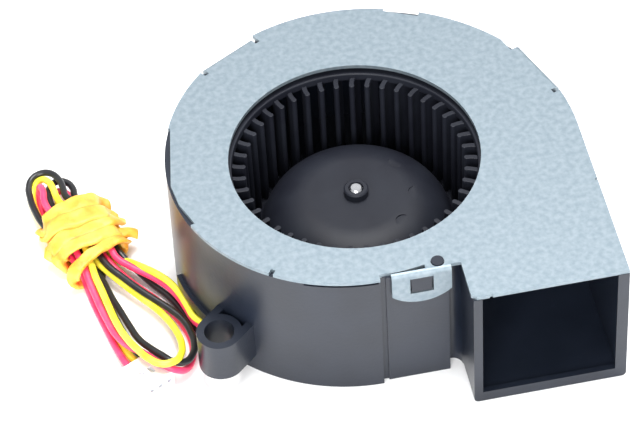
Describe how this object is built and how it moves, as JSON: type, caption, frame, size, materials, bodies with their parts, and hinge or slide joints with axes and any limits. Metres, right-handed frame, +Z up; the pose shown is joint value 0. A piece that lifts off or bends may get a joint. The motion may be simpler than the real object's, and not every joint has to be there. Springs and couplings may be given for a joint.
{
  "type": "centrifugal blower fan",
  "caption": "Low centrifugal blower: scroll housing with clipped-on sheet cover, squirrel-cage wheel on an outer-rotor motor, side outlet, screw ears, and a bound lead with a plug.",
  "frame": {"origin": "where the rotor's axis meets the plane of the base", "axes": "+X to the right, towards the outlet's side; +Y away from the outlet's mouth; +Z up along the rotor's axis, out of the inlet"},
  "size_m": [0.1068, 0.081, 0.0303],
  "materials": {
    "housing_plastic": "fine satin",
    "cover_zinc": "zinc-coated sheet",
    "wheel_plastic": "satin",
    "bearing_steel": "ground",
    "yoke_steel": "drawn and plated",
    "core_steel": "varnished laminations",
    "insulator_plastic": "moulded",
    "coil_copper": "enamelled wire",
    "board_green": "solder mask",
    "chip_black": "moulded",
    "chip_tan": "ceramic",
    "brass": "turned",
    "magnet_grey": "bonded ferrite",
    "wire_black": "wire insulation",
    "wire_red": "wire insulation",
    "wire_yellow": "wire insulation",
    "inner_wires": "wire insulation",
    "hank_wires": "wire insulation",
    "band_rubber": "smooth",
    "plug_white": "moulded",
    "contact_tin": "tinned"
  },
  "bodies": {
    "housing": {"scroll_housing": "housing_plastic", "top_cover": "cover_zinc", "bearing_tube": "brass", "upper_bearing_outer": "bearing_steel", "lower_bearing_outer": "bearing_steel", "bearing_balls": "bearing_steel", "stator_core": "core_steel", "upper_insulator": "insulator_plastic", "lower_insulator": "insulator_plastic", "stator_coils": "coil_copper", "circuit_board": "board_green", "driver_chip": "chip_black", "hall_sensor": "chip_black", "board_parts": "chip_tan", "inner_leads": "inner_wires", "lead_black": "wire_black", "lead_red": "wire_red", "lead_yellow": "wire_yellow", "lead_hank": "hank_wires", "rubber_band": "band_rubber", "connector_housing": "plug_white", "connector_contacts": "contact_tin"},
    "rotor": {"impeller_hub": "wheel_plastic", "impeller_blades": "wheel_plastic", "impeller_ring": "wheel_plastic", "hub_bush": "brass", "shaft": "bearing_steel", "rotor_yoke": "yoke_steel", "ring_magnet": "magnet_grey", "upper_bearing_inner": "bearing_steel", "lower_bearing_inner": "bearing_steel", "preload_spring": "bearing_steel", "retaining_ring": "bearing_steel"}
  },
  "joints": [
    {"name": "impeller_spin", "type": "hinge", "parent": "housing", "child": "rotor", "pos_m": [0, 0, 0], "axis": [0, 0, 1], "continuous": true}
  ]
}
